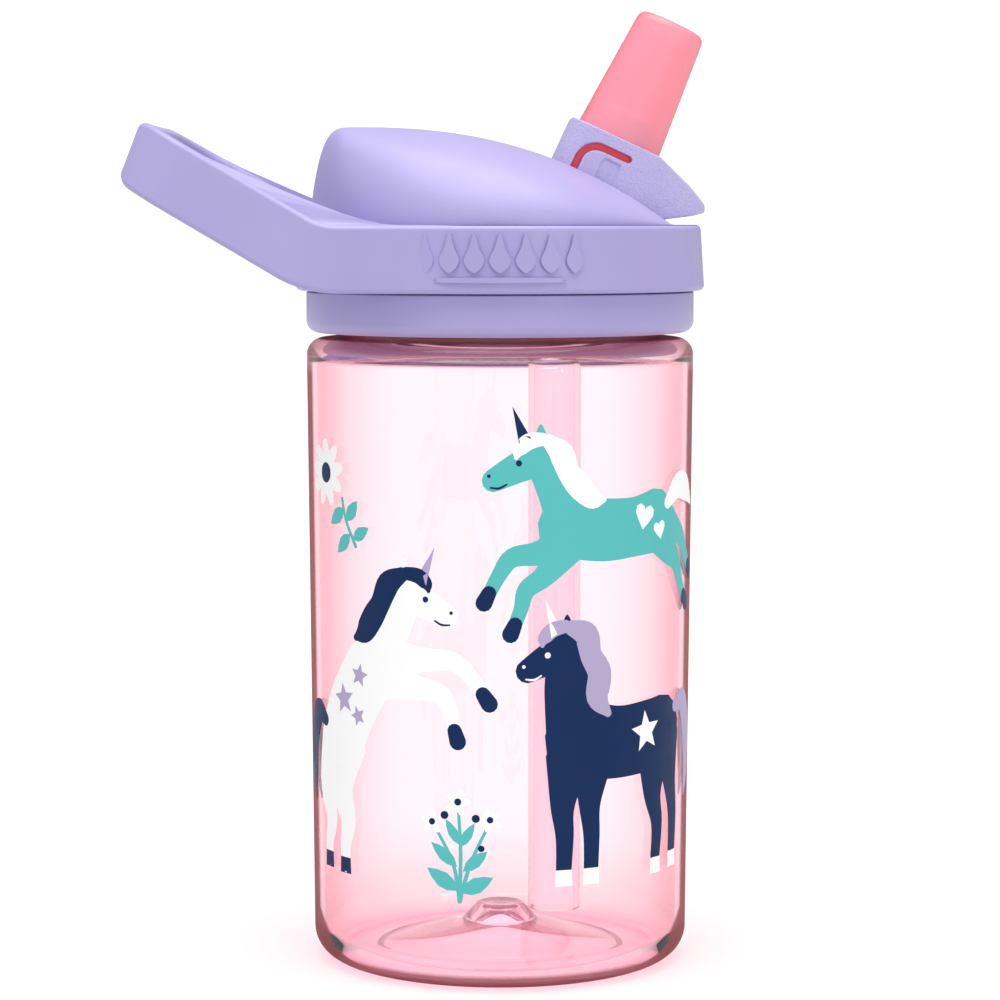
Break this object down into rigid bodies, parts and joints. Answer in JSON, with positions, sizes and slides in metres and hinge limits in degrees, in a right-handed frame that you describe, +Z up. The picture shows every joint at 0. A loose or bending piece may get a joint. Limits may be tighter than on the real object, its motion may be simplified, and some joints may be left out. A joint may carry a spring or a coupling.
{
  "type": "kids water bottle",
  "caption": "Clear tinted drinking bottle with a screw lid, raised carry loop, inner straw and a flip-up spout with a soft bite valve.",
  "frame": {"origin": "centre of the footprint box on the surface the bottle stands on; the bottle's own axis is at x = 15.6 mm", "axes": "+Z up along the bottle's axis, -X towards the carry loop, +X towards the open spout"},
  "size_m": [0.1086, 0.0774, 0.1797],
  "materials": {
    "clear_body": "clear, tinted pink, glossy",
    "lid_plastic": "satin lilac moulding",
    "valve_silicone": "translucent coral-pink silicone",
    "clear_silicone": "milky silicone",
    "straw_plastic": "clear, faintly pink tube"
  },
  "bodies": {
    "bottle": {"bottle_body": "clear_body"},
    "sealing_ring": {"lid_gasket": "clear_silicone"},
    "collar": {"lid_collar": "lid_plastic"},
    "lid": {"inner_cap": "lid_plastic", "lid_dome": "lid_plastic", "carry_handle": "lid_plastic", "straw": "straw_plastic", "spout_seal": "clear_silicone", "vent_valve": "clear_silicone"},
    "spout": {"flip_spout": "lid_plastic", "bite_valve": "valve_silicone"}
  },
  "joints": [
    {"name": "lid_lift_off", "type": "slide", "parent": "bottle", "child": "sealing_ring", "axis": [0, 0, 1], "range_m": [0, 0.15]},
    {"name": "lid_raise", "type": "slide", "parent": "sealing_ring", "child": "collar", "axis": [0, 0, 1], "range_m": [0, 0.0034]},
    {"name": "lid_turn", "type": "hinge", "parent": "collar", "child": "lid", "pos_m": [0.0156, 0, 0.124], "axis": [0, 0, 1], "range_deg": [0, 300]},
    {"name": "spout_flip", "type": "hinge", "parent": "lid", "child": "spout", "pos_m": [0.028, 0, 0.1435], "axis": [0, -1, 0], "range_deg": [0, 115]}
  ],
  "couplings": [
    {"joint": "lid_raise", "follows": "lid_turn", "m_per_rad": 0.00063662}
  ]
}
